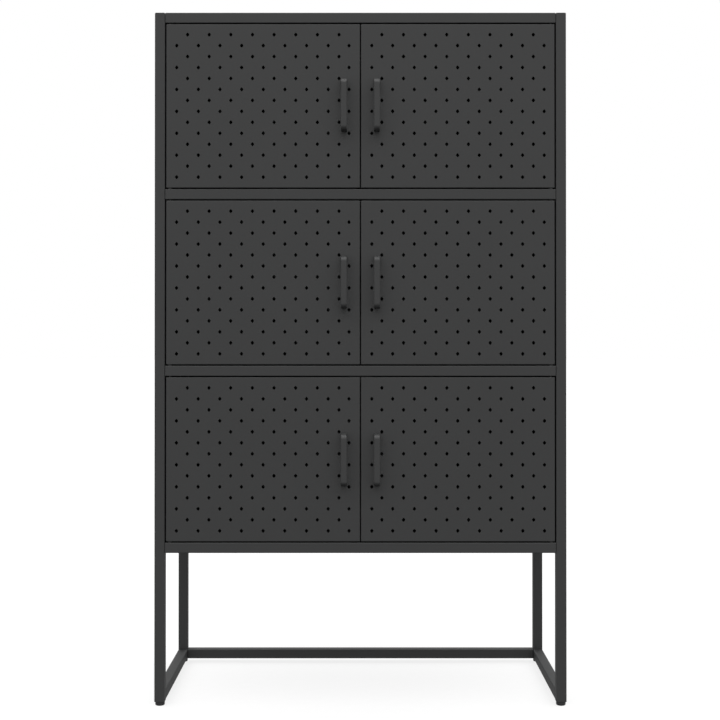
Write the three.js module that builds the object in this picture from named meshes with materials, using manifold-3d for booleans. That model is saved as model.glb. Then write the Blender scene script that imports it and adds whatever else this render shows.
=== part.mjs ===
// A tall sheet-steel cabinet on an open tube base: six perforated doors in three rows of two,
// hung on pivot pins between fixed boards, inside two welded side frames.
// Millimetres, +Z up. The doors face -Y, and the origin is on the floor, at the middle of the box.

import * as THREE from 'three';
import { mergeGeometries, mergeVertices } from 'three/addons/utils/BufferGeometryUtils.js';
import Module from 'manifold-3d';

const wasm = await Module();
wasm.setup();

// Driving dimensions
const WIDTH = 800;
const DEPTH = 350; // front faces of the doors to the back of the posts
const GAP = 0.3; // left between two pieces that touch
const TUBE = 20; // side of the square tube
const TUBE_WALL = 1.2;
const TUBE_RADIUS = 2;
const SHEET = 0.8;
const BOARD_HEIGHT = 20;
const REVEAL = 2.4; // around each door
const DOOR_HEIGHT = 318.6;
const ROW_COUNT = 3;
const FOOT_HEIGHT = 8;
const BASE_CLEARANCE = 296.5; // floor to the underside of the lowest board
const HANDLE_PROUD = 24;

// Doors
const DOOR_DEPTH = 18;
const DOOR_LIP = 10;
const DOOR_CENTRE_GAP = 2;
const POST_GAP = 2.5;
const HOLE_WIDTH = 6.1;
const HOLE_HEIGHT = 8;
const HOLE_COLUMNS = 17;
const HOLE_ROWS = 14;
const COLUMN_PITCH = 21.04;
const ROW_PITCH = 21.33;
const FIRST_COLUMN = 20.3; // in from the hinge edge
const FIRST_ROW = 20.5; // down from the top edge
const LAST_COLUMN = 21.15; // in from the free edge, clear of the handle

// Handles: bows on 96 mm screw centres
const HANDLE_CENTRES = 96;
const HANDLE_THICK = 5.5;
const HANDLE_WIDTH = 11;
const HANDLE_BEND = 10;
const HANDLE_FROM_CENTRE = 32;
const SCREW_HOLE_RADIUS = 2.3;

// Hinges
const PIVOT_INSET = 7; // in from the door's hinge edge
const PIVOT_SETBACK = 5; // behind the door's front face
const PIN_RADIUS = 2.5;
const PIN_HOLE_RADIUS = 2.9;
const PIN_HEAD_RADIUS = 4;
const PIN_HEAD_HEIGHT = 1.6;
const PIN_REACH = 5; // past the board's sheet
const PIN_CHAMFER = 1;
const WASHER_RADIUS = 4.5;

// Panels, catches and feet
const SIDE_PANEL_RECESS = 2;
const SIDE_PANEL_DEPTH = 17.4;
const BACK_PANEL_RECESS = 3;
const BACK_PANEL_DEPTH = 12;
const PANEL_LIP = 8;
const BOARD_LIP = 20;
const CATCH_WIDTH = 46;
const CATCH_DEPTH = 16;
const CATCH_HEIGHT = 12;
const CATCH_CHAMFER = 3;
const CATCH_GAP = 0.6; // between the catch and the closed doors
const FOOT_RADIUS = 9.25;
const FOOT_ROUND = 2.2;
const FOOT_STEM_RADIUS = 7.6;
const FOOT_STEM_HEIGHT = 14;

// How finely the round shapes are divided
const TUBE_CORNER_STEPS = 2;
const BOW_BEND_STEPS = 3;
const WASHER_STEPS = 5;
const FOOT_ROUND_STEPS = 2;
const FOOT_SIDES = 16;
const PIN_SIDES = 10;
const SCREW_HOLE_SIDES = 8;
const DIAMOND_SIDES = 4;
const SAME_POINT = 1e-4; // corners closer than this are joined

// Worked out
const FRONT = HANDLE_PROUD / 2 - DEPTH / 2;
const BACK = FRONT + DEPTH;
const ROW_PITCH_HEIGHT = BOARD_HEIGHT + 2 * REVEAL + DOOR_HEIGHT;
const HEIGHT = BASE_CLEARANCE + ROW_COUNT * ROW_PITCH_HEIGHT + BOARD_HEIGHT;
const INNER_HALF = WIDTH / 2 - TUBE;
const DOOR_WIDTH = INNER_HALF - POST_GAP - DOOR_CENTRE_GAP / 2;
const ROWS = ['lower', 'middle', 'upper'];
const SIDES = [['left', -1], ['right', 1]];
const ENDS = [['front', FRONT, 1], ['rear', BACK, -1]];
const PUNCH_REACH = 2 * SHEET; // a punch passes this far beyond the face of a sheet

const boardBottom = (index) => BASE_CLEARANCE + index * ROW_PITCH_HEIGHT;
const boardTop = (index) => boardBottom(index) + BOARD_HEIGHT;
const doorBottom = (row) => boardTop(row) + REVEAL;

function paint(color, roughness, metalness) {
  return new THREE.MeshStandardMaterial({ color, roughness, metalness, flatShading: true });
}

const MATERIALS = {
  tube: paint(0x3b3e3d, 0.5, 0.1),
  sheet: paint(0x3f4141, 0.55, 0.1),
  door: paint(0x404242, 0.55, 0.1),
  handle: paint(0x434544, 0.45, 0.1),
  foot: paint(0x1c1c1d, 0.6, 0),
  nylon: paint(0x2a2a2b, 0.55, 0),
  pin: paint(0x2c2c2d, 0.4, 0.7),
};

const model = new THREE.Group();

function addMesh(name, geometry, material) {
  const mesh = new THREE.Mesh(geometry, material);
  mesh.name = name;
  model.add(mesh);
}

// A closed geometry as a solid that can be cut
function solidOf(geometry) {
  const bare = geometry.clone();
  bare.deleteAttribute('normal');
  bare.deleteAttribute('uv');
  const merged = mergeVertices(bare, SAME_POINT);
  return new wasm.Manifold(new wasm.Mesh({
    numProp: 3,
    vertProperties: new Float32Array(merged.attributes.position.array),
    triVerts: new Uint32Array(merged.index.array),
  }));
}

function geometryOf(solid) {
  const mesh = solid.getMesh();
  const geometry = new THREE.BufferGeometry();
  geometry.setAttribute('position', new THREE.BufferAttribute(mesh.vertProperties, 3));
  geometry.setIndex(new THREE.BufferAttribute(mesh.triVerts, 1));
  geometry.computeVertexNormals();
  return geometry;
}

// A box between two corners
function block([x0, y0, z0], [x1, y1, z1]) {
  const box = new THREE.BoxGeometry(x1 - x0, y1 - y0, z1 - z0);
  return box.translate((x0 + x1) / 2, (y0 + y1) / 2, (z0 + z1) / 2);
}

// A round bar along Z
function bar(radius, x, y, z0, z1) {
  const cylinder = new THREE.CylinderGeometry(radius, radius, z1 - z0, PIN_SIDES);
  return cylinder.rotateX(Math.PI / 2).translate(x, y, (z0 + z1) / 2);
}

// Cuts away what lies on the side of a plane that its normal points to
function trim(solid, point, normal) {
  const reach = 4 * TUBE;
  const half = new THREE.BoxGeometry(reach, reach, reach).translate(0, 0, reach / 2);
  const up = new THREE.Vector3(0, 0, 1);
  const turn = new THREE.Quaternion().setFromUnitVectors(up, normal.clone().normalize());
  return solid.subtract(solidOf(half.applyQuaternion(turn).translate(...point)));
}

// A folded sheet pan: its face fills the XY rectangle at z = 0, its walls rise to z = depth,
// and a lip of the same sheet turns in along the top of the walls
function pan(width, length, depth, lip) {
  const outer = block([-width / 2, -length / 2, 0], [width / 2, length / 2, depth]);
  const wide = width / 2 - SHEET;
  const long = length / 2 - SHEET;
  const hollow = block([-wide, -long, SHEET], [wide, long, depth - SHEET]);
  const mouthWide = width / 2 - lip;
  const mouthLong = length / 2 - lip;
  const mouth = block([-mouthWide, -mouthLong, SHEET], [mouthWide, mouthLong, depth + SHEET]);
  return solidOf(outer).subtract(solidOf(hollow)).subtract(solidOf(mouth));
}

const TURNS = {
  '-x': [0, 90, 0],
  '+x': [0, -90, 0],
  '-y': [-90, 0, 0],
  '+y': [90, 0, 0],
  '+z': [180, 0, 0],
};

// Turns a pan so that its face looks along a direction, and sets the middle of its face in place
function facing(solid, direction, place) {
  return solid.rotate(TURNS[direction]).translate(place);
}

// Square tube

function roundedSquare(path, half, radius) {
  const inner = half - radius;
  path.moveTo(half, -inner);
  path.absarc(inner, inner, radius, 0, Math.PI / 2);
  path.absarc(-inner, inner, radius, Math.PI / 2, Math.PI);
  path.absarc(-inner, -inner, radius, Math.PI, 1.5 * Math.PI);
  path.absarc(inner, -inner, radius, 1.5 * Math.PI, 2 * Math.PI);
  return path;
}

// A length of tube rising along Z from the middle of its lower end
function tube(length) {
  const section = roundedSquare(new THREE.Shape(), TUBE / 2, TUBE_RADIUS);
  section.holes.push(roundedSquare(new THREE.Path(), TUBE / 2 - TUBE_WALL, TUBE_RADIUS - TUBE_WALL));
  return new THREE.ExtrudeGeometry(section, {
    depth: length,
    bevelEnabled: false,
    curveSegments: TUBE_CORNER_STEPS,
  });
}

function buildSideFrames() {
  const middleX = WIDTH / 2 - TUBE / 2;
  const railLength = DEPTH - 2 * TUBE - 2 * GAP;
  const cut = GAP / Math.SQRT2;
  for (const [side, sign] of SIDES) {
    const x = sign * middleX;
    for (const [end, y, inward] of ENDS) {
      const post = tube(HEIGHT - FOOT_HEIGHT).translate(x, y + inward * TUBE / 2, FOOT_HEIGHT);
      const mitred = trim(solidOf(post), [x, y, HEIGHT - cut], new THREE.Vector3(0, inward, 1));
      addMesh(`post_${end}_${side}`, geometryOf(mitred), MATERIALS.tube);
    }
    let topRail = solidOf(tube(DEPTH).rotateX(-Math.PI / 2).translate(x, FRONT, HEIGHT - TUBE / 2));
    topRail = trim(topRail, [x, FRONT + cut, HEIGHT], new THREE.Vector3(0, -1, -1));
    topRail = trim(topRail, [x, BACK - cut, HEIGHT], new THREE.Vector3(0, 1, -1));
    addMesh(`top_rail_${side}`, geometryOf(topRail), MATERIALS.tube);
    const lowerRails = [['cabinet_rail', BASE_CLEARANCE], ['base_rail', FOOT_HEIGHT]];
    for (const [name, bottom] of lowerRails) {
      const rail = tube(railLength).rotateX(-Math.PI / 2);
      addMesh(`${name}_${side}`, rail.translate(x, FRONT + TUBE + GAP, bottom + TUBE / 2), MATERIALS.tube);
    }
  }
  const rearRail = tube(2 * (INNER_HALF - GAP)).rotateY(Math.PI / 2);
  rearRail.translate(GAP - INNER_HALF, BACK - TUBE / 2, FOOT_HEIGHT + TUBE / 2);
  addMesh('base_rail_rear', rearRail, MATERIALS.tube);
}

// Feet: round glides whose stems plug the open ends of the posts

function buildFeet() {
  const outline = new THREE.Path();
  outline.moveTo(0, 0);
  outline.lineTo(FOOT_RADIUS - FOOT_ROUND, 0);
  outline.absarc(FOOT_RADIUS - FOOT_ROUND, FOOT_ROUND, FOOT_ROUND, -Math.PI / 2, 0);
  outline.lineTo(FOOT_RADIUS, FOOT_HEIGHT - GAP);
  outline.lineTo(FOOT_STEM_RADIUS, FOOT_HEIGHT - GAP);
  outline.lineTo(FOOT_STEM_RADIUS, FOOT_HEIGHT + FOOT_STEM_HEIGHT);
  outline.lineTo(0, FOOT_HEIGHT + FOOT_STEM_HEIGHT);
  for (const [side, sign] of SIDES) {
    for (const [end, y, inward] of ENDS) {
      const foot = new THREE.LatheGeometry(outline.getPoints(FOOT_ROUND_STEPS), FOOT_SIDES);
      foot.rotateX(Math.PI / 2);
      foot.translate(sign * (WIDTH / 2 - TUBE / 2), y + inward * TUBE / 2, 0);
      addMesh(`foot_${end}_${side}`, foot, MATERIALS.foot);
    }
  }
}

// Boards, side panels and back panels: all folded pans

const pivotX = (sign) => sign * (INNER_HALF - POST_GAP - PIVOT_INSET);
const PIVOT_Y = FRONT + PIVOT_SETBACK;

// What is cut from the sheet at a height to let a hinge pin through
function pinHole(sign, height) {
  const drill = bar(PIN_HOLE_RADIUS, pivotX(sign), PIVOT_Y, height - PUNCH_REACH, height + PUNCH_REACH);
  return solidOf(drill);
}

function buildBoards() {
  const names = ['bottom_board', 'lower_shelf', 'upper_shelf', 'top_board'];
  names.forEach((name, index) => {
    const blank = pan(2 * (INNER_HALF - GAP), DEPTH, BOARD_HEIGHT, BOARD_LIP);
    let board = facing(blank, '+z', [0, (FRONT + BACK) / 2, boardTop(index)]);
    for (const [, sign] of SIDES) {
      if (index < ROW_COUNT) {
        board = board.subtract(pinHole(sign, boardTop(index)));
      }
      if (index > 0) {
        board = board.subtract(pinHole(sign, boardBottom(index)));
      }
    }
    addMesh(name, geometryOf(board), MATERIALS.sheet);
  });
}

function buildPanels() {
  const bottom = BASE_CLEARANCE + TUBE + GAP;
  const top = HEIGHT - TUBE - GAP;
  for (const [side, sign] of SIDES) {
    const blank = pan(top - bottom, DEPTH - 2 * TUBE - 2 * GAP, SIDE_PANEL_DEPTH, PANEL_LIP);
    const place = [sign * (WIDTH / 2 - SIDE_PANEL_RECESS), (FRONT + BACK) / 2, (top + bottom) / 2];
    addMesh(`side_panel_${side}`, geometryOf(facing(blank, sign > 0 ? '+x' : '-x', place)), MATERIALS.sheet);
  }
  ROWS.forEach((row, index) => {
    const low = boardTop(index) + GAP;
    const high = boardBottom(index + 1) - GAP;
    const blank = pan(2 * (INNER_HALF - GAP), high - low, BACK_PANEL_DEPTH, PANEL_LIP);
    const panel = facing(blank, '+y', [0, BACK - BACK_PANEL_RECESS, (low + high) / 2]);
    addMesh(`back_panel_${row}`, geometryOf(panel), MATERIALS.sheet);
  });
}

// Doors: pans perforated with a staggered field of upright diamonds

// The hole centres, as distances from the door's hinge edge and from its top edge
function holeCentres() {
  const centres = [];
  for (let row = 0; row < HOLE_ROWS; row += 1) {
    for (let column = (row + 1) % 2; column < HOLE_COLUMNS; column += 2) {
      const last = column === HOLE_COLUMNS - 1;
      const across = last ? DOOR_WIDTH - LAST_COLUMN : FIRST_COLUMN + column * COLUMN_PITCH;
      centres.push([across, FIRST_ROW + row * ROW_PITCH]);
    }
  }
  return centres;
}

// All the diamond punches of one door, as prisms along Y around the front sheet
function punches(sign, hingeX, top) {
  const prisms = holeCentres().map(([across, down]) => {
    const prism = new THREE.CylinderGeometry(1, 1, 2 * PUNCH_REACH, DIAMOND_SIDES);
    prism.scale(HOLE_WIDTH / 2, 1, HOLE_HEIGHT / 2);
    return prism.translate(hingeX - sign * across, FRONT + SHEET / 2, top - down);
  });
  return solidOf(mergeGeometries(prisms));
}

function buildDoor(row, index, side, sign) {
  const bottom = doorBottom(index);
  const top = bottom + DOOR_HEIGHT;
  const middleX = sign * (DOOR_CENTRE_GAP + DOOR_WIDTH) / 2;
  const blank = pan(DOOR_WIDTH, DOOR_HEIGHT, DOOR_DEPTH, DOOR_LIP);
  let door = facing(blank, '-y', [middleX, FRONT, (bottom + top) / 2]);
  door = door.subtract(punches(sign, sign * (INNER_HALF - POST_GAP), top));
  for (const end of [bottom, top]) {
    door = door.subtract(pinHole(sign, end));
  }
  for (const step of [-1, 1]) {
    const radius = SCREW_HOLE_RADIUS;
    const hole = new THREE.CylinderGeometry(radius, radius, 2 * PUNCH_REACH, SCREW_HOLE_SIDES);
    const holeZ = (bottom + top) / 2 + step * HANDLE_CENTRES / 2;
    hole.translate(sign * HANDLE_FROM_CENTRE, FRONT + SHEET / 2, holeZ);
    door = door.subtract(solidOf(hole));
  }
  addMesh(`door_${row}_${side}`, geometryOf(door), MATERIALS.door);
}

// A bow handle: a flat bar bent to a bow, its two feet on the door

function bowOutline() {
  const half = (HANDLE_CENTRES + HANDLE_THICK) / 2;
  const inner = half - HANDLE_THICK;
  const outer = HANDLE_PROUD;
  const bend = HANDLE_BEND;
  const innerBend = HANDLE_BEND - HANDLE_THICK;
  const foot = GAP;
  const shape = new THREE.Shape();
  shape.moveTo(foot, -half);
  shape.lineTo(outer - bend, -half);
  shape.absarc(outer - bend, bend - half, bend, -Math.PI / 2, 0);
  shape.lineTo(outer, half - bend);
  shape.absarc(outer - bend, half - bend, bend, 0, Math.PI / 2);
  shape.lineTo(foot, half);
  shape.lineTo(foot, inner);
  shape.lineTo(outer - HANDLE_THICK - innerBend, inner);
  shape.absarc(outer - HANDLE_THICK - innerBend, inner - innerBend, innerBend, Math.PI / 2, 0, true);
  shape.lineTo(outer - HANDLE_THICK, innerBend - inner);
  shape.absarc(outer - HANDLE_THICK - innerBend, innerBend - inner, innerBend, 0, -Math.PI / 2, true);
  shape.lineTo(foot, -inner);
  shape.closePath();
  return shape;
}

function buildHandle(row, index, side, sign) {
  // The outline's X runs out of the door and its Y runs up
  const bow = new THREE.ExtrudeGeometry(bowOutline(), {
    depth: HANDLE_WIDTH,
    bevelEnabled: false,
    curveSegments: BOW_BEND_STEPS,
  });
  bow.translate(0, 0, -HANDLE_WIDTH / 2).rotateX(Math.PI / 2).rotateZ(-Math.PI / 2);
  bow.translate(sign * HANDLE_FROM_CENTRE, FRONT, doorBottom(index) + DOOR_HEIGHT / 2);
  addMesh(`handle_${row}_${side}`, bow, MATERIALS.handle);
}

// Hinges: a headed pin through each end of the door into the board, and a washer under the door

function headedPin(x, base, direction) {
  const head = base - direction * GAP;
  const tip = base + direction * (SHEET + REVEAL + SHEET + PIN_REACH);
  const headTop = head - direction * PIN_HEAD_HEIGHT;
  const outline = [
    [0, headTop],
    [PIN_HEAD_RADIUS, headTop],
    [PIN_HEAD_RADIUS, head],
    [PIN_RADIUS, head],
    [PIN_RADIUS, tip - direction * PIN_CHAMFER],
    [PIN_RADIUS - PIN_CHAMFER, tip],
    [0, tip],
  ].map(([radius, z]) => new THREE.Vector2(radius, z));
  const pin = new THREE.LatheGeometry(direction > 0 ? outline : outline.reverse(), PIN_SIDES);
  return pin.rotateX(Math.PI / 2).translate(x, PIVOT_Y, 0);
}

function buildHinges(row, index, side, sign) {
  const bottom = doorBottom(index);
  const top = bottom + DOOR_HEIGHT;
  const x = pivotX(sign);
  addMesh(`hinge_pin_top_${row}_${side}`, headedPin(x, top - SHEET, 1), MATERIALS.pin);
  addMesh(`hinge_pin_bottom_${row}_${side}`, headedPin(x, bottom + SHEET, -1), MATERIALS.pin);
  const ring = new THREE.Shape().absarc(0, 0, WASHER_RADIUS, 0, 2 * Math.PI);
  ring.holes.push(new THREE.Path().absarc(0, 0, PIN_HOLE_RADIUS, 0, 2 * Math.PI));
  const washer = new THREE.ExtrudeGeometry(ring, {
    depth: REVEAL - 2 * GAP,
    bevelEnabled: false,
    curveSegments: WASHER_STEPS,
  });
  washer.translate(x, PIVOT_Y, boardTop(index) + GAP);
  addMesh(`hinge_washer_${row}_${side}`, washer, MATERIALS.nylon);
}

// Double magnetic catches, under the front edge of each board

function buildCatch(row, index) {
  const outline = new THREE.Shape([
    new THREE.Vector2(0, 0),
    new THREE.Vector2(0, -CATCH_HEIGHT),
    new THREE.Vector2(CATCH_DEPTH - CATCH_CHAMFER, -CATCH_HEIGHT),
    new THREE.Vector2(CATCH_DEPTH, CATCH_CHAMFER - CATCH_HEIGHT),
    new THREE.Vector2(CATCH_DEPTH, 0),
  ]);
  const body = new THREE.ExtrudeGeometry(outline, { depth: CATCH_WIDTH, bevelEnabled: false });
  body.translate(0, 0, -CATCH_WIDTH / 2).rotateX(Math.PI / 2).rotateZ(Math.PI / 2);
  body.translate(0, FRONT + DOOR_DEPTH + CATCH_GAP, boardBottom(index + 1) - GAP);
  addMesh(`magnetic_catch_${row}`, body, MATERIALS.nylon);
}

buildSideFrames();
buildFeet();
buildBoards();
buildPanels();
ROWS.forEach((row, index) => {
  for (const [side, sign] of SIDES) {
    buildDoor(row, index, side, sign);
    buildHandle(row, index, side, sign);
    buildHinges(row, index, side, sign);
  }
  buildCatch(row, index);
});

export default model;
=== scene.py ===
from math import cos, pi, radians, sin

import bmesh
import bpy
from mathutils import Matrix, Vector


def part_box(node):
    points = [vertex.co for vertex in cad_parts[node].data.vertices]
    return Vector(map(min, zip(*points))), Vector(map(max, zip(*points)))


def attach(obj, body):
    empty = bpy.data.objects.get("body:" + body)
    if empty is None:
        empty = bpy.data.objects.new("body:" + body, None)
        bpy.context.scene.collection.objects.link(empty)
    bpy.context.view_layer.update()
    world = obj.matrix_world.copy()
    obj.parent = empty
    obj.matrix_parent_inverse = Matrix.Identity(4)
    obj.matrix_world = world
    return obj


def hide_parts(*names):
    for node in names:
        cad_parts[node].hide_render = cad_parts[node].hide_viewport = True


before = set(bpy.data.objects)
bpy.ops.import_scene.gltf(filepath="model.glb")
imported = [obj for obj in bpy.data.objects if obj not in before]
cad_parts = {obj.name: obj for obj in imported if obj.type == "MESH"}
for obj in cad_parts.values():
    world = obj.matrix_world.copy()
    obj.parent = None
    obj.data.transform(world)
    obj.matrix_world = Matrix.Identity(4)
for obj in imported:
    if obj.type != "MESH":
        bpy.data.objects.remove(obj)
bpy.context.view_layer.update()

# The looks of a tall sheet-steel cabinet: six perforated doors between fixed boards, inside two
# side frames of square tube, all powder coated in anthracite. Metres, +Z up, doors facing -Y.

ROWS = ("lower", "middle", "upper")
SIDES = (("left", -1), ("right", 1))
ENDS = (("front", -1), ("rear", 1))
ACROSS = (1, 0, 0)
BACKWARDS = (0, 1, 0)
UPWARDS = (0, 0, 1)
DOWNWARDS = (0, 0, -1)

# Sheet and tube
SHEET = 0.0008
FOLD = 0.0013  # outer radius of a fold
FOLD_STEPS = 4
LIP = 0.010  # turned in behind a door
PANEL_LIP = 0.008
BOARD_LIP = 0.020
TUBE_RADIUS = 0.002
TUBE_WALL = 0.0012
TUBE_STEPS = 6
COAT_ROUND = 0.00018  # how far the coat rounds a cut edge
MITRE_GAP = 0.0003

# Perforation: a staggered field of upright diamonds
HOLE_WIDTH = 0.0075  # before its tips are rounded
HOLE_HEIGHT = 0.0091
HOLE_ROUND = 0.0014
TIP_STEPS = 3
HOLE_COLUMNS = 17
HOLE_ROWS = 14
COLUMN_PITCH = 0.02104
ROW_PITCH = 0.02133
FIRST_COLUMN = 0.0203  # in from the hinge edge
LAST_COLUMN = 0.02115  # in from the free edge
FIRST_ROW = 0.0205  # down from the top edge

# Handles and fixings
BAR = 0.0055
BAR_BEND = 0.010
BAR_ROUND = 0.0009
BAR_ROUND_STEPS = 3
BEND_STEPS = 10
HANDLE_CENTRES = 0.096
SCREW_HEAD = 0.0042
SCREW_HEIGHT = 0.0022
SOCKET = 0.0014
SOCKET_DEPTH = 0.0013
SIDES_OF_SOCKET = 6
CROWN_STEPS = 6
BACK_SCREW_SIZE = 0.8  # of a handle screw
PIN_HEAD = 0.004
PIN_HEAD_HEIGHT = 0.0016
PIN_HEAD_ROUND = 0.0005
PIN_HEAD_STEPS = 4
PIN_RADIUS = 0.0025
PIN_CHAMFER = 0.001
PIN_COAT = 0.0001
WASHER_BORE = 0.0029
WASHER_ROUND = 0.2  # of its height
TURNED_STEPS = 24
EDGE_STEPS = 3  # in the small round edges of feet and washers

# Feet
FOOT_ROUND = 0.25  # of the foot's radius
FOOT_GROOVE = 0.125  # of that roundness
FOOT_DISH = 0.5  # of the foot's radius
FOOT_ROUND_STEPS = 8

# Catches
CATCH_SLOPE = 0.003
CATCH_ROUND = 0.0007
CATCH_ROUND_STEPS = 3
POLE_SPREAD = 0.0115  # from the middle of the catch to the middle of a pole plate
POLE_LIFT = 0.0022
POLE_SINK = 0.0008
POLE_HALF = Vector((0.0065, 0.0012, 0.0006))
POLE_ROUND = 0.0002
POLE_ROUND_STEPS = 2
CATCH_SCREW_SPREAD = 0.0195
CATCH_SCREW_SIZE = 0.6  # of a handle screw

# An edge that turns by more than these is a corner
SHARP = radians(60)
CATCH_SHARP = radians(30)
COAT_SHARP = radians(50)

FACING = 0.9  # cosine above which a face counts as facing a direction
SAME_POINT = 1e-6

# Finishes: how far across the spots in each are
TONE_DRIFT = 0.11
ORANGE_PEEL = 0.0026
POWDER_GRAIN = 0.0006
ZINC_CLOUD = 0.004
BLACK_RUB = 0.003
METAL_GRAIN = 0.0004
FLOW_MARK = 0.009
PLASTIC_GRAIN = 0.0005
PAPER_MOTTLE = 0.02

# How deep they are
POWDER_DEPTH = 0.00003
METAL_DEPTH = 0.00001
PLASTIC_DEPTH = 0.00002

# And their darkest and lightest shades, as shares of a shade or as colours
POWDER_RANGE = (0.86, 1.14)
PLASTIC_RANGE = (0.8, 1.25)
ZINC_SHADES = ((0.42, 0.42, 0.40), (0.60, 0.61, 0.62))
BLACK_SHADES = ((0.016, 0.016, 0.017), (0.034, 0.034, 0.035))


# Node trees

class Value:
    """An output of a node. Arithmetic on it adds Math nodes."""

    def __init__(self, tree, socket):
        self.tree = tree
        self.socket = socket

    def maths(self, operation, first, second):
        return self.tree.node("ShaderNodeMath", {"operation": operation}, {0: first, 1: second})

    def __add__(self, other):
        return self.maths("ADD", self, other)

    def __radd__(self, other):
        return self.maths("ADD", other, self)

    def __sub__(self, other):
        return self.maths("SUBTRACT", self, other)

    def __rsub__(self, other):
        return self.maths("SUBTRACT", other, self)

    def __mul__(self, other):
        return self.maths("MULTIPLY", self, other)

    def __rmul__(self, other):
        return self.maths("MULTIPLY", other, self)


class Tree:
    """The nodes of a material or of the surroundings."""

    def __init__(self, owner):
        owner.use_nodes = True
        self.nodes = owner.node_tree.nodes
        self.links = owner.node_tree.links

    def node(self, kind, settings, sockets, output=0):
        made = self.nodes.new(kind)
        for name, setting in settings.items():
            setattr(made, name, setting)
        for key, value in sockets.items():
            self.feed(made.inputs[key], value)
        return Value(self, made.outputs[output])

    def feed(self, socket, value):
        if isinstance(value, Value):
            self.links.new(value.socket, socket)
        else:
            socket.default_value = value

    def noise(self, place, size, detail):
        """Soft noise from 0 to 1 whose spots are about size across."""
        sockets = {"Vector": place, "Scale": 1 / size, "Detail": detail, "Roughness": 0.55}
        return self.node("ShaderNodeTexNoise", {}, sockets)

    def blend(self, factor, first, second):
        sockets = {0: factor, 6: (*first, 1), 7: (*second, 1)}
        return self.node("ShaderNodeMix", {"data_type": "RGBA"}, sockets, output=2)

    def ease(self, value, first, last, low, high):
        """A smooth rise or fall from low to high as a value goes from first to last."""
        sockets = {"Value": value, "From Min": first, "From Max": last, "To Min": low, "To Max": high}
        return self.node("ShaderNodeMapRange", {"interpolation_type": "SMOOTHSTEP"}, sockets)

    def bump(self, height, depth):
        return self.node("ShaderNodeBump", {}, {"Strength": 1, "Distance": depth, "Height": height})


def finish(name, **constants):
    """A new material, its tree, its shader and the place of each point on the object."""
    material = bpy.data.materials.new(name)
    tree = Tree(material)
    shader = tree.nodes["Principled BSDF"]
    for socket, value in constants.items():
        shader.inputs[socket.replace("_", " ")].default_value = value
    place = tree.node("ShaderNodeTexCoord", {}, {}, output="Object")
    return material, tree, shader.inputs, place


def shades(shade, shares):
    return [[share * channel for channel in shade] for share in shares]


def powder_coat(name, shade, roughness):
    """Baked powder on steel: a fine grain over orange peel, with a little drift in tone and gloss."""
    material, tree, shader, place = finish(name)
    drift = tree.noise(place, TONE_DRIFT, 3)
    peel = tree.noise(place, ORANGE_PEEL, 2)
    grain = tree.noise(place, POWDER_GRAIN, 1)
    tone = drift * 0.45 + peel * 0.3 + grain * 0.25
    tree.feed(shader["Base Color"], tree.blend(tone, *shades(shade, POWDER_RANGE)))
    tree.feed(shader["Roughness"], roughness - 0.08 + drift * 0.06 + grain * 0.1)
    tree.feed(shader["Normal"], tree.bump(peel * 0.65 + grain * 0.35, POWDER_DEPTH))
    return material


def zinc_plate(name):
    """Bright zinc on steel, clouded by handling, with a fine grain."""
    material, tree, shader, place = finish(name, Metallic=1.0)
    cloud = tree.noise(place, ZINC_CLOUD, 3)
    grain = tree.noise(place, METAL_GRAIN, 2)
    tree.feed(shader["Base Color"], tree.blend(cloud, *ZINC_SHADES))
    tree.feed(shader["Roughness"], 0.26 + cloud * 0.14 + grain * 0.08)
    tree.feed(shader["Normal"], tree.bump(grain, METAL_DEPTH))
    return material


def blackened_steel(name):
    """Steel with a black oxide finish, rubbed a little brighter in places."""
    material, tree, shader, place = finish(name, Metallic=0.7)
    rub = tree.noise(place, BLACK_RUB, 3)
    grain = tree.noise(place, METAL_GRAIN, 2)
    tree.feed(shader["Base Color"], tree.blend(rub, *BLACK_SHADES))
    tree.feed(shader["Roughness"], 0.38 + rub * 0.12 + grain * 0.08)
    tree.feed(shader["Normal"], tree.bump(grain, METAL_DEPTH))
    return material


def moulded_plastic(name, shade, roughness):
    """Injection-moulded plastic: spark-eroded grain and slight flow marks."""
    material, tree, shader, place = finish(name)
    flow = tree.noise(place, FLOW_MARK, 2)
    grain = tree.noise(place, PLASTIC_GRAIN, 2)
    tone = flow * 0.6 + grain * 0.4
    tree.feed(shader["Base Color"], tree.blend(tone, *shades(shade, PLASTIC_RANGE)))
    tree.feed(shader["Roughness"], roughness - 0.06 + grain * 0.12)
    tree.feed(shader["Normal"], tree.bump(grain, PLASTIC_DEPTH))
    return material


ANTHRACITE = (0.0292, 0.0298, 0.0300)
TUBE_ANTHRACITE = (0.0275, 0.0281, 0.0283)
TUBE_COAT = powder_coat("tube_coat", TUBE_ANTHRACITE, roughness=0.58)
SHEET_COAT = powder_coat("sheet_coat", ANTHRACITE, roughness=0.58)
DOOR_COAT = powder_coat("door_coat", ANTHRACITE, roughness=0.58)
HANDLE_COAT = powder_coat("handle_coat", ANTHRACITE, roughness=0.48)
ZINC = zinc_plate("zinc_plated_steel")
BLACK_STEEL = blackened_steel("blackened_steel")
NYLON = moulded_plastic("black_nylon", (0.016, 0.016, 0.017), roughness=0.5)
CATCH_PLASTIC = moulded_plastic("catch_plastic", (0.020, 0.020, 0.021), roughness=0.42)


# Shaping

def faces_of(geometry):
    return [item for item in geometry if isinstance(item, bmesh.types.BMFace)]


def edges_of(geometry):
    return [item for item in geometry if isinstance(item, bmesh.types.BMEdge)]


def verts_of(geometry):
    return [item for item in geometry if isinstance(item, bmesh.types.BMVert)]


def extrude(bm, faces, offset):
    made = bmesh.ops.extrude_face_region(bm, geom=faces)["geom"]
    bmesh.ops.translate(bm, verts=verts_of(made), vec=offset)
    return faces_of(made)


def corners(bm, sharpest):
    """The edges where two faces turn by more than an angle."""
    found = [edge for edge in bm.edges if len(edge.link_faces) == 2]
    return [edge for edge in found if edge.calc_face_angle() > sharpest]


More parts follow.
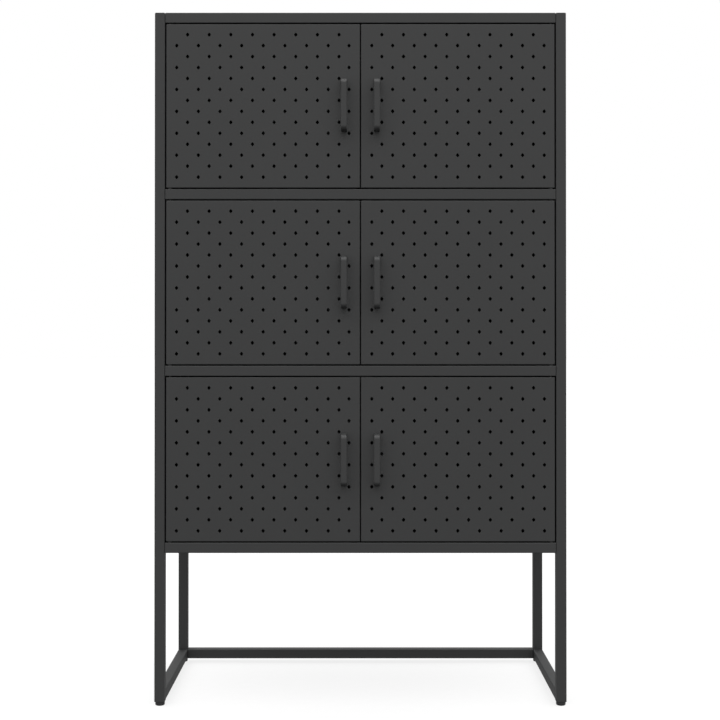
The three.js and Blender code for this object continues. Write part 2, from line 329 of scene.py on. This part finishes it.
def round_edges(bm, edges, radius, steps):
    bmesh.ops.bevel(bm, geom=edges, offset=radius, offset_type="OFFSET", segments=steps, profile=0.5,
                    affect="EDGES", clamp_overlap=False, material=-1)


def round_points(bm, points, radius, steps):
    bmesh.ops.bevel(bm, geom=points, offset=radius, offset_type="OFFSET", segments=steps, profile=0.5,
                    affect="VERTICES", material=-1)


def stand(bm, verts, place, axis):
    """Turns a shape that rises along Z to another axis, and moves it from the origin to a point."""
    rotation = Vector(UPWARDS).rotation_difference(Vector(axis)).to_matrix().to_4x4()
    bmesh.ops.transform(bm, matrix=Matrix.Translation(place) @ rotation, verts=verts)


def extent(node):
    """The lowest corner, the highest corner and the middle of a node's box."""
    low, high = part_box(node)
    return low, high, (low + high) / 2


def make_box(bm, low, high):
    made = bmesh.ops.create_cube(bm, size=1)["verts"]
    bmesh.ops.scale(bm, verts=made, vec=high - low)
    bmesh.ops.translate(bm, verts=made, vec=(low + high) / 2)


def make_piece(name, bm, material, slot, body, *nodes, sheet=0, coat=COAT_ROUND):
    """Turns a shape into a piece that rides on a body and stands for its CAD nodes."""
    bmesh.ops.recalc_face_normals(bm, faces=bm.faces[:])
    mesh = bpy.data.meshes.new(name)
    bm.to_mesh(mesh)
    bm.free()
    mesh.shade_smooth()
    mesh.materials.append(material)
    piece = bpy.data.objects.new(name, mesh)
    bpy.context.scene.collection.objects.link(piece)
    if sheet:
        wall = piece.modifiers.new("sheet", "SOLIDIFY")
        wall.thickness = sheet
        wall.offset = -1
        wall.use_even_offset = True
    if coat:
        edge = piece.modifiers.new("coat", "BEVEL")
        edge.width = coat
        edge.segments = 1
        edge.limit_method = "ANGLE"
        edge.angle_limit = COAT_SHARP
    piece.modifiers.new("flat_faces", "WEIGHTED_NORMAL")
    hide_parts(*nodes)
    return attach(piece, body)


# Square tube

def tube(length):
    """A length of hollow tube with round corners, rising from the origin along Z."""
    bm = bmesh.new()
    bmesh.ops.create_grid(bm, x_segments=1, y_segments=1, size=tube_width() / 2)
    round_points(bm, bm.verts[:], TUBE_RADIUS, TUBE_STEPS)
    bore = bm.faces[:]
    bmesh.ops.inset_individual(bm, faces=bore, thickness=TUBE_WALL, use_even_offset=True)
    bmesh.ops.delete(bm, geom=bore, context="FACES")
    extrude(bm, bm.faces[:], (0, 0, length))
    return bm


def tube_width():
    low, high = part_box("post_front_left")
    return high.x - low.x


def tube_along(node, axis):
    """A tube that runs the length of a node's box."""
    low, high, middle = extent(node)
    along = Vector(axis)
    length = along.dot(high - low)
    bm = tube(length)
    stand(bm, bm.verts[:], middle - along * length / 2, axis)
    return bm


def cut(bm, point, normal):
    """Cuts off what lies on the side that the normal points to, and closes the tube's wall."""
    everything = bm.verts[:] + bm.edges[:] + bm.faces[:]
    made = bmesh.ops.bisect_plane(bm, geom=everything, plane_co=point, plane_no=normal, clear_outer=True)
    bmesh.ops.bridge_loops(bm, edges=edges_of(made["geom_cut"]))


def mitre(bm, node, outward, away):
    """Cuts a tube on the slant through a top corner of a side frame, half a gap short of the joint."""
    low, high, middle = extent(node)
    corner = Vector((middle.x, high.y if outward > 0 else low.y, high.z))
    inside = corner - Vector((0, outward * tube_width(), tube_width()))
    slant = Vector(away).normalized()
    cut(bm, (corner + inside) / 2 - slant * MITRE_GAP / 2, slant)


def make_tube(node, bm):
    make_piece(f"coated_{node}", bm, TUBE_COAT, "frame_tube", "cabinet", node)


def make_side_frames():
    for side, _ in SIDES:
        for end, outward in ENDS:
            node = f"post_{end}_{side}"
            bm = tube_along(node, UPWARDS)
            mitre(bm, node, outward, (0, -outward, 1))
            make_tube(node, bm)
        node = f"top_rail_{side}"
        bm = tube_along(node, BACKWARDS)
        for _, outward in ENDS:
            mitre(bm, node, outward, (0, outward, -1))
        make_tube(node, bm)
        for node in (f"cabinet_rail_{side}", f"base_rail_{side}"):
            make_tube(node, tube_along(node, BACKWARDS))
    make_tube("base_rail_rear", tube_along("base_rail_rear", ACROSS))


# Folded sheet

def make_folded(node, opening, lip):
    """A sheet pan that fills a node's box, open on one side, with lips turned in round the opening."""
    bm = bmesh.new()
    make_box(bm, *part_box(node))
    bm.normal_update()
    mouth = [face for face in bm.faces if face.normal.dot(Vector(opening)) > FACING]
    bmesh.ops.inset_individual(bm, faces=mouth, thickness=lip, use_even_offset=True)
    bmesh.ops.delete(bm, geom=mouth, context="FACES")
    round_edges(bm, corners(bm, SHARP), FOLD, FOLD_STEPS)
    make_piece(f"folded_{node}", bm, SHEET_COAT, "body_sheet", "cabinet", node, sheet=SHEET)


def make_boards():
    for node in ("bottom_board", "lower_shelf", "upper_shelf", "top_board"):
        make_folded(node, DOWNWARDS, BOARD_LIP)


def make_panels():
    for side, sign in SIDES:
        make_folded(f"side_panel_{side}", (-sign, 0, 0), PANEL_LIP)
    for row in ROWS:
        make_folded(f"back_panel_{row}", (0, -1, 0), PANEL_LIP)


# Doors

def grid_lines(centres, pitch, span):
    """Lines across a door: its edges, half a pitch outside the end holes, and between the holes."""
    between = [(first + second) / 2 for first, second in zip(centres, centres[1:])]
    return [0, centres[0] - pitch / 2, *between, centres[-1] + pitch / 2, span]


def door_skin(low, high, sign):
    """The front sheet of a door, divided into one cell for each place of the lattice, and punched."""
    hinge = high.x if sign > 0 else low.x
    width = high.x - low.x
    across = [FIRST_COLUMN + column * COLUMN_PITCH for column in range(HOLE_COLUMNS)]
    across[-1] = width - LAST_COLUMN
    down = [FIRST_ROW + row * ROW_PITCH for row in range(HOLE_ROWS)]
    columns = grid_lines(across, COLUMN_PITCH, width)
    rows = grid_lines(down, ROW_PITCH, high.z - low.z)
    column_count = len(columns) - 1
    row_count = len(rows) - 1

    # A grid one unit across, whose lines are moved to the lattice once the cells are counted
    bm = bmesh.new()
    bmesh.ops.create_grid(bm, x_segments=column_count, y_segments=row_count, size=0.5)
    holes = []
    for face in bm.faces:
        middle = face.calc_center_median()
        column = int((middle.x + 0.5) * column_count) - 1
        row = int((middle.y + 0.5) * row_count) - 1
        inside = 0 <= column < HOLE_COLUMNS and 0 <= row < HOLE_ROWS
        if inside and (column + row) % 2 == 1:
            holes.append((face, hinge - sign * across[column], high.z - down[row]))
    for vert in bm.verts:
        column = round((vert.co.x + 0.5) * column_count)
        row = round((vert.co.y + 0.5) * row_count)
        vert.co = (hinge - sign * columns[column], low.y, high.z - rows[row])
    punch(bm, holes)
    return bm


def punch(bm, holes):
    """Cuts an upright diamond with round tips in each given cell, about the given centre."""
    punched = [face for face, _, _ in holes]
    bm.normal_update()
    bmesh.ops.inset_individual(bm, faces=punched, thickness=HOLE_WIDTH / 2)
    for face, x, z in holes:
        for vert in face.verts:
            right = 1 if vert.co.x > x else -1
            up = 1 if vert.co.z > z else -1
            vert.co.x = x + HOLE_WIDTH / 2 * (right - up) / 2
            vert.co.z = z + HOLE_HEIGHT / 2 * (right + up) / 2
    tips = list({vert for face in punched for vert in face.verts})
    round_points(bm, tips, HOLE_ROUND, TIP_STEPS)
    # Rounding the four tips leaves each hole with more sides than any cell around it
    sides_of_hole = 4 * (TIP_STEPS + 1)
    diamonds = [face for face in bm.faces if len(face.verts) == sides_of_hole]
    bmesh.ops.delete(bm, geom=diamonds, context="FACES")


def make_door(row, side, sign):
    node = f"door_{row}_{side}"
    low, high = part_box(node)
    bm = door_skin(low, high, sign)
    rim = [edge for edge in bm.edges if edge.is_boundary and on_outline(edge, low, high)]
    walls = bmesh.ops.extrude_edge_only(bm, edges=rim)["geom"]
    bmesh.ops.translate(bm, verts=verts_of(walls), vec=(0, high.y - low.y, 0))
    lips = bmesh.ops.extrude_edge_only(bm, edges=edges_of(walls))["geom"]
    for vert in verts_of(lips):
        vert.co.x = min(max(vert.co.x, low.x + LIP), high.x - LIP)
        vert.co.z = min(max(vert.co.z, low.z + LIP), high.z - LIP)
    bmesh.ops.remove_doubles(bm, verts=bm.verts[:], dist=SAME_POINT)
    round_edges(bm, corners(bm, SHARP), FOLD, FOLD_STEPS)
    body = f"door_{row}_{side}_body"
    make_piece(f"perforated_{node}", bm, DOOR_COAT, "door_sheet", body, node, sheet=SHEET)


def on_outline(edge, low, high):
    """Whether an edge of the front sheet lies on its outer edge."""
    middle = (edge.verts[0].co + edge.verts[1].co) / 2
    nearest = min(middle.x - low.x, high.x - middle.x, middle.z - low.z, high.z - middle.z)
    return nearest < SHEET


def make_handle(row, side):
    """A bow bent from flat bar: half of it is swept from the middle to a foot, then mirrored."""
    node = f"handle_{row}_{side}"
    low, high, middle = extent(node)
    straight = (high.z - low.z) / 2 - BAR_BEND
    bm = bmesh.new()
    bmesh.ops.create_grid(bm, x_segments=1, y_segments=1, size=0.5)
    bmesh.ops.scale(bm, verts=bm.verts[:], vec=(high.x - low.x, BAR, 1))
    bmesh.ops.translate(bm, verts=bm.verts[:], vec=(middle.x, low.y + BAR / 2, middle.z))
    start = bm.faces[:]
    end = extrude(bm, start, (0, 0, straight))
    centre = Vector((middle.x, low.y + BAR_BEND, middle.z + straight))
    swept = bmesh.ops.spin(bm, geom=end, cent=centre, axis=ACROSS, angle=-pi / 2, steps=BEND_STEPS)
    extrude(bm, faces_of(swept["geom_last"]), (0, high.y - low.y - BAR_BEND, 0))
    bmesh.ops.delete(bm, geom=start, context="FACES")
    # Extruding leaves the face that it starts from inside the bar
    inner = [face for face in bm.faces if all(len(edge.link_faces) > 2 for edge in face.edges)]
    bmesh.ops.delete(bm, geom=inner, context="FACES_ONLY")
    everything = bm.verts[:] + bm.edges[:] + bm.faces[:]
    to_middle = Matrix.Translation(-middle)
    bmesh.ops.mirror(bm, geom=everything, matrix=to_middle, merge_dist=SAME_POINT, axis="Z")
    bmesh.ops.remove_doubles(bm, verts=bm.verts[:], dist=SAME_POINT)
    bmesh.ops.recalc_face_normals(bm, faces=bm.faces[:])
    round_edges(bm, corners(bm, SHARP), BAR_ROUND, BAR_ROUND_STEPS)
    make_piece(f"bow_{node}", bm, HANDLE_COAT, "handle", f"door_{row}_{side}_body", node, coat=0)


# Turned pieces

def arc(across, up, radius, start, stop, steps):
    """Points of an arc in the plane of a turned outline, angles in degrees."""
    angles = [radians(start + (stop - start) * step / steps) for step in range(steps + 1)]
    return [(across + radius * cos(angle), up + radius * sin(angle)) for angle in angles]


def turn(bm, outline):
    """Turns an outline of radius and height about Z, and gives back the vertices that this makes."""
    before = set(bm.verts)
    points = [bm.verts.new((radius, 0, height)) for radius, height in outline]
    lines = [bm.edges.new(pair) for pair in zip(points, points[1:])]
    bmesh.ops.spin(bm, geom=points + lines, cent=(0, 0, 0), axis=UPWARDS, angle=2 * pi,
                   steps=TURNED_STEPS, use_merge=True)
    made = [vert for vert in bm.verts if vert not in before]
    bmesh.ops.remove_doubles(bm, verts=made, dist=SAME_POINT)
    return [vert for vert in bm.verts if vert not in before]


def turned(outline, place, axis=UPWARDS):
    """A turned shape that stands on a point."""
    bm = bmesh.new()
    stand(bm, turn(bm, outline), place, axis)
    return bm


def make_feet():
    for side, _ in SIDES:
        for end, _ in ENDS:
            make_foot(end, side)


def make_foot(end, side):
    """A glide with a dished sole under a post, and its stem inside the tube."""
    node = f"foot_{end}_{side}"
    low, high, middle = extent(node)
    radius = (high.x - low.x) / 2
    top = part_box(f"post_{end}_{side}")[0].z - MITRE_GAP
    stem = tube_width() / 2 - 2 * TUBE_WALL
    roundness = radius * FOOT_ROUND
    groove = roundness * FOOT_GROOVE
    dish = radius * FOOT_DISH
    outline = [(0, low.z + groove), (dish, low.z + groove), (dish + groove, low.z)]
    outline += arc(radius - roundness, low.z + roundness, roundness, -90, 0, FOOT_ROUND_STEPS)
    outline += arc(radius - groove, top - groove, groove, 0, 90, EDGE_STEPS)
    outline += [(stem, top), (stem, high.z - groove), (stem - groove, high.z), (0, high.z)]
    bm = turned(outline, (middle.x, middle.y, 0))
    make_piece(f"glide_{node}", bm, NYLON, "foot", "cabinet", node, coat=0)


def make_hinge_pins(row, side):
    for end, up in (("top", 1), ("bottom", -1)):
        node = f"hinge_pin_{end}_{row}_{side}"
        low, high, middle = extent(node)
        length = high.z - low.z
        outline = [(0, 0)]
        outline += arc(PIN_HEAD - PIN_HEAD_ROUND, PIN_HEAD_ROUND, PIN_HEAD_ROUND, -90, 0, PIN_HEAD_STEPS)
        outline += [(PIN_HEAD, PIN_HEAD_HEIGHT), (PIN_RADIUS, PIN_HEAD_HEIGHT)]
        outline += [(PIN_RADIUS, length - PIN_CHAMFER), (PIN_RADIUS - PIN_CHAMFER, length), (0, length)]
        bm = turned(outline, (middle.x, middle.y, low.z if up > 0 else high.z), (0, 0, up))
        body = f"door_{row}_{side}_body"
        make_piece(f"steel_{node}", bm, BLACK_STEEL, "hinge_pin", body, node, coat=PIN_COAT)


def make_washer(row, side):
    node = f"hinge_washer_{row}_{side}"
    low, high, middle = extent(node)
    radius = (high.x - low.x) / 2
    height = high.z - low.z
    soft = height * WASHER_ROUND
    outline = [(WASHER_BORE, soft), (WASHER_BORE + soft, 0)]
    outline += arc(radius - soft, soft, soft, -90, 0, EDGE_STEPS)
    outline += arc(radius - soft, height - soft, soft, 0, 90, EDGE_STEPS)
    outline += [(WASHER_BORE + soft, height), (WASHER_BORE, height - soft), (WASHER_BORE, soft)]
    bm = turned(outline, (middle.x, middle.y, low.z))
    make_piece(f"nylon_{node}", bm, NYLON, "washer", "cabinet", node, coat=0)


# Screws

def add_screw(bm, place, axis, size=1.0):
    """A button-head screw with a six-sided socket, its seat at a point and its head along an axis."""
    height = SCREW_HEIGHT * size
    socket = SOCKET * size
    floor = height - SOCKET_DEPTH
    outline = [(0, 0), *arc(SCREW_HEAD * size - height, 0, height, 0, 90, CROWN_STEPS)]
    outline += [(socket, height), (socket, floor), (0, floor)]
    made = turn(bm, outline)
    for vert in made:
        if abs(vert.co.xy.length - socket) < SAME_POINT:
            angle = Vector((1, 0)).angle_signed(vert.co.xy, 0) % (2 * pi / SIDES_OF_SOCKET)
            vert.co.xy *= cos(pi / SIDES_OF_SOCKET) / cos(angle - pi / SIDES_OF_SOCKET)
    stand(bm, made, place, axis)


def make_screws(name, bm, body):
    make_piece(name, bm, BLACK_STEEL, "hinge_pin", body, coat=0)


def make_handle_screws(row, side):
    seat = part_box(f"door_{row}_{side}")[0].y + SHEET
    _, _, middle = extent(f"handle_{row}_{side}")
    bm = bmesh.new()
    for up in (-1, 1):
        add_screw(bm, (middle.x, seat, middle.z + up * HANDLE_CENTRES / 2), BACKWARDS)
    make_screws(f"handle_screws_{row}_{side}", bm, f"door_{row}_{side}_body")


def make_back_screws():
    for row in ROWS:
        low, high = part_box(f"back_panel_{row}")
        bm = bmesh.new()
        for x in (low.x + PANEL_LIP, high.x - PANEL_LIP):
            for z in (low.z + PANEL_LIP, high.z - PANEL_LIP):
                add_screw(bm, (x, high.y, z), BACKWARDS, BACK_SCREW_SIZE)
        make_screws(f"back_screws_{row}", bm, "cabinet")


# Catches

def make_catch(row):
    """A double magnetic catch: a moulded body, two pairs of pole plates and two screws."""
    node = f"magnetic_catch_{row}"
    low, high, middle = extent(node)
    bm = bmesh.new()
    make_box(bm, low, high)
    lower_back = {vert for vert in bm.verts if vert.co.y > middle.y and vert.co.z < middle.z}
    round_edges(bm, [edge for edge in bm.edges if lower_back.issuperset(edge.verts)], CATCH_SLOPE, 1)
    round_edges(bm, corners(bm, CATCH_SHARP), CATCH_ROUND, CATCH_ROUND_STEPS)
    make_piece(f"catch_{row}", bm, CATCH_PLASTIC, "catch", "cabinet", node, coat=0)

    poles = bmesh.new()
    screws = bmesh.new()
    for _, sign in SIDES:
        for up in (-1, 1):
            centre = Vector((middle.x + sign * POLE_SPREAD, low.y + POLE_SINK, middle.z + up * POLE_LIFT))
            make_box(poles, centre - POLE_HALF, centre + POLE_HALF)
        place = (middle.x + sign * CATCH_SCREW_SPREAD, middle.y, low.z)
        add_screw(screws, place, DOWNWARDS, CATCH_SCREW_SIZE)
    round_edges(poles, corners(poles, SHARP), POLE_ROUND, POLE_ROUND_STEPS)
    make_piece(f"catch_poles_{row}", poles, ZINC, "catch", "cabinet", coat=0)
    make_screws(f"catch_screws_{row}", screws, "cabinet")


# Stage

ROOM_LIGHT = 0.57
FRONT_LIGHT = 0.13
SIDE_LIGHT = 0.2
CEILING_LIGHT = 3.3
FLOOR_LIGHT = 0.12
# The light changes over these heights of a direction, from -1 straight down to 1 straight up
LOW_CHANGE = (-0.75, -0.1)
HIGH_CHANGE = (0.3, 1)
FLOOR_REACH = 30
FLOOR_GLOW = 0.8
FLOOR_ROUGHNESS = 0.9
FLOOR_SHADES = ((0.17, 0.17, 0.17), (0.19, 0.19, 0.19))
WHITE = (1, 1, 1, 1)


def make_floor():
    bm = bmesh.new()
    bmesh.ops.create_grid(bm, x_segments=1, y_segments=1, size=FLOOR_REACH)
    mesh = bpy.data.meshes.new("floor")
    bm.to_mesh(mesh)
    bm.free()
    floor = bpy.data.objects.new("floor", mesh)
    bpy.context.scene.collection.objects.link(floor)
    material, tree, shader, place = finish(
        "pale_floor", Roughness=FLOOR_ROUGHNESS, Specular_IOR_Level=0, Emission_Color=WHITE,
        Emission_Strength=FLOOR_GLOW)
    paper = tree.noise(place, PAPER_MOTTLE, 3)
    tree.feed(shader["Base Color"], tree.blend(paper, *FLOOR_SHADES))
    mesh.materials.append(material)
    floor.visible_diffuse = False
    floor.visible_glossy = False


def make_surroundings():
    """White all round to the eye. As light, even at eye level, brighter overhead and dim below."""
    world = bpy.data.worlds.new("studio")
    bpy.context.scene.world = world
    tree = Tree(world)
    direction = tree.node("ShaderNodeTexCoord", {}, {}, output="Generated")
    split = tree.node("ShaderNodeSeparateXYZ", {}, {"Vector": direction})
    outputs = split.socket.node.outputs
    across = Value(tree, outputs["X"])
    forward = Value(tree, outputs["Y"])
    upward = Value(tree, outputs["Z"])
    band = tree.ease(upward, *LOW_CHANGE, FLOOR_LIGHT, 1)
    overhead = tree.ease(upward, *HIGH_CHANGE, 0, CEILING_LIGHT)
    level = (band + overhead) * (ROOM_LIGHT - forward * FRONT_LIGHT + across * across * SIDE_LIGHT)
    lighting = tree.node("ShaderNodeBackground", {}, {"Color": WHITE, "Strength": level})
    backdrop = tree.node("ShaderNodeBackground", {}, {"Color": WHITE, "Strength": 1})
    seen = tree.node("ShaderNodeLightPath", {}, {}, output="Is Camera Ray")
    both = tree.node("ShaderNodeMixShader", {}, {0: seen, 1: lighting, 2: backdrop})
    tree.feed(tree.nodes["World Output"].inputs["Surface"], both)


# Camera
CAMERA_DISTANCE = 2.48  # from the door faces
CAMERA_HEIGHT = 0.727
CAMERA_TILT = 0.00611  # upwards, in radians
LENS = 63.85  # in millimetres, like the sensor
SENSOR = 36
SHIFT_ACROSS = -0.0006
SHIFT_UP = -0.0508
NEAREST = 0.05
FURTHEST = 200


def make_camera():
    camera = bpy.data.cameras.new("camera")
    camera.lens = LENS
    camera.sensor_width = SENSOR
    camera.shift_x = SHIFT_ACROSS
    camera.shift_y = SHIFT_UP
    camera.clip_start = NEAREST
    camera.clip_end = FURTHEST
    holder = bpy.data.objects.new("camera", camera)
    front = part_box("door_lower_left")[0].y
    holder.location = (0, front - CAMERA_DISTANCE, CAMERA_HEIGHT)
    holder.rotation_euler = (pi / 2 + CAMERA_TILT, 0, 0)
    bpy.context.scene.collection.objects.link(holder)
    bpy.context.scene.camera = holder


make_side_frames()
make_boards()
make_panels()
for row in ROWS:
    for side, sign in SIDES:
        make_door(row, side, sign)
        make_handle(row, side)
        make_handle_screws(row, side)
        make_hinge_pins(row, side)
        make_washer(row, side)
    make_catch(row)
make_back_screws()
make_feet()
make_floor()
make_surroundings()
make_camera()
bpy.context.scene.view_settings.view_transform = "Standard"
bpy.context.scene.cycles.use_denoising = True
